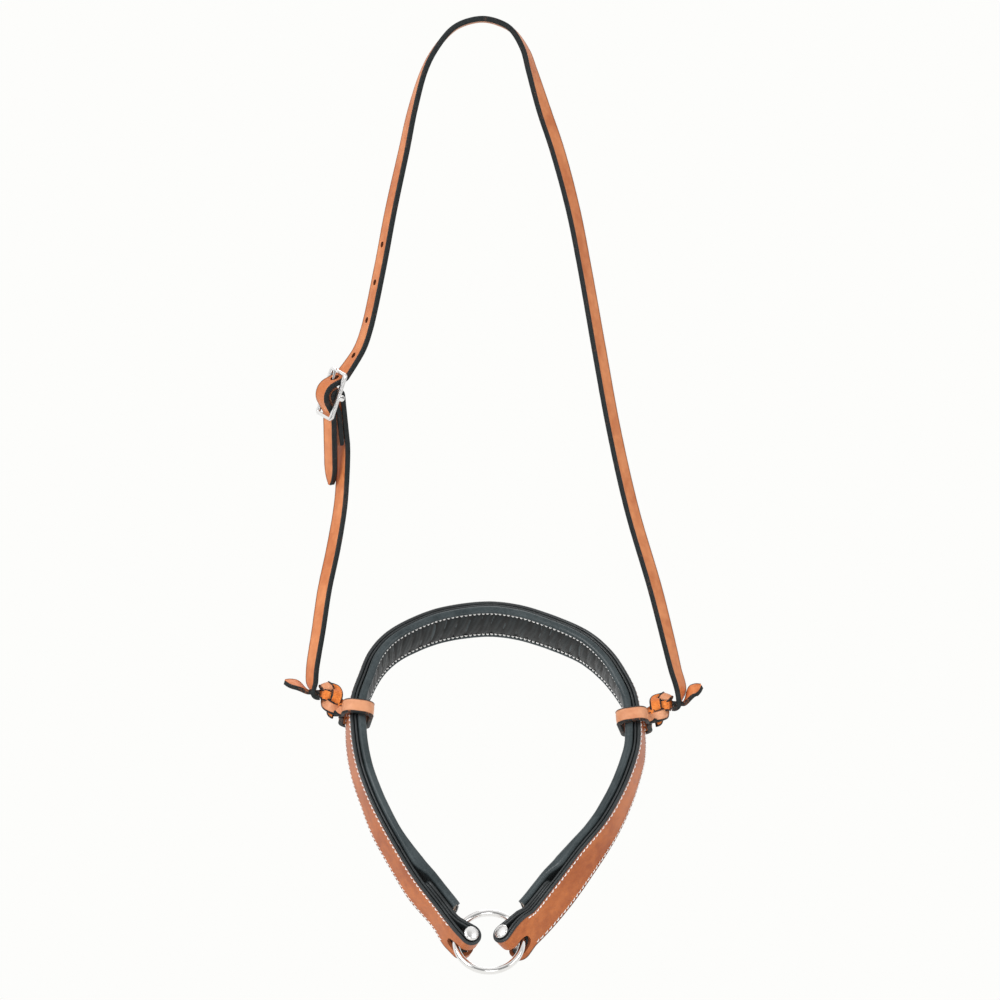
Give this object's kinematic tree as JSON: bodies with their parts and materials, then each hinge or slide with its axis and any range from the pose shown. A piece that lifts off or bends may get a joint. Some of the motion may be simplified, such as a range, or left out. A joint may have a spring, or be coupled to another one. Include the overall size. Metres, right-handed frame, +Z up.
{
  "type": "bridle noseband",
  "caption": "Padded leather noseband that hangs in two knotted side loops from a buckled crown strap, with a ring joining its folded ends under the jaw.",
  "frame": {"origin": "inner top of the crown arch, where the headpiece lies over the poll and the whole noseband hangs from", "axes": "+X towards the horse's left-right line, away from the buckle side; +Y from the nose side seen in front towards the back; +Z up"},
  "size_m": [0.2695, 0.1208, 0.6079],
  "materials": {
    "strap_leather": "smooth tan grain with dark painted edges",
    "loop_leather": "tan grain outside, bright suede inside, dark painted edges",
    "band_leather": "smooth brown-tan grain, white stitching along both margins",
    "lining_leather": "matt near-black",
    "pad_leather": "soft near-black, lightly pleated",
    "pad_foam": "open-cell foam, hidden",
    "plated_steel": "polished"
  },
  "bodies": {
    "headstall": {"crown_strap": "strap_leather", "left_cheek_strap": "strap_leather", "left_tail": "loop_leather", "right_tail": "loop_leather"},
    "buckle": {"buckle_frame": "plated_steel"},
    "tongue": {"buckle_tongue": "plated_steel"},
    "side_loops": {"left_side_loop": "loop_leather", "right_side_loop": "loop_leather"},
    "noseband": {"noseband_leather": "band_leather", "noseband_lining": "lining_leather", "pad_backing": "lining_leather", "pad_cover": "pad_leather", "pad_foam": "pad_foam"},
    "ring": {"tie_down_ring": "plated_steel"},
    "left_pin": {"left_pin_post": "plated_steel", "left_pin_screw": "plated_steel"},
    "right_pin": {"right_pin_post": "plated_steel", "right_pin_screw": "plated_steel"}
  },
  "joints": [
    {"name": "buckle_rock", "type": "hinge", "parent": "headstall", "child": "buckle", "pos_m": [-0.09544, 0.001, -0.2383], "axis": [-0.5012, 0.8219, 0.2706], "range_deg": [-3, 3]},
    {"name": "tongue_lift", "type": "hinge", "parent": "buckle", "child": "tongue", "pos_m": [-0.09544, 0.001, -0.2383], "axis": [0.5012, -0.8219, -0.2706], "range_deg": [0, 3]},
    {"name": "noseband_swing", "type": "hinge", "parent": "headstall", "child": "side_loops", "pos_m": [0.0083, 0, -0.4342], "axis": [0.9995, 0, -0.0311], "range_deg": [-25, 25]},
    {"name": "noseband_slide", "type": "slide", "parent": "side_loops", "child": "noseband", "axis": [0, 0.4871, 0.8733], "range_m": [-0.004, 0.004]},
    {"name": "ring_swing", "type": "hinge", "parent": "noseband", "child": "ring", "pos_m": [0.00398, -0.05853, -0.5845], "axis": [1, 0, 0], "range_deg": [-14, 3]},
    {"name": "left_pin_turn", "type": "hinge", "parent": "noseband", "child": "left_pin", "pos_m": [-0.01082, -0.05853, -0.5845], "axis": [-0.274, 0.8538, -0.4427], "continuous": true},
    {"name": "right_pin_turn", "type": "hinge", "parent": "noseband", "child": "right_pin", "pos_m": [0.01878, -0.05853, -0.5845], "axis": [0.52, 0.6708, -0.5288], "continuous": true}
  ]
}
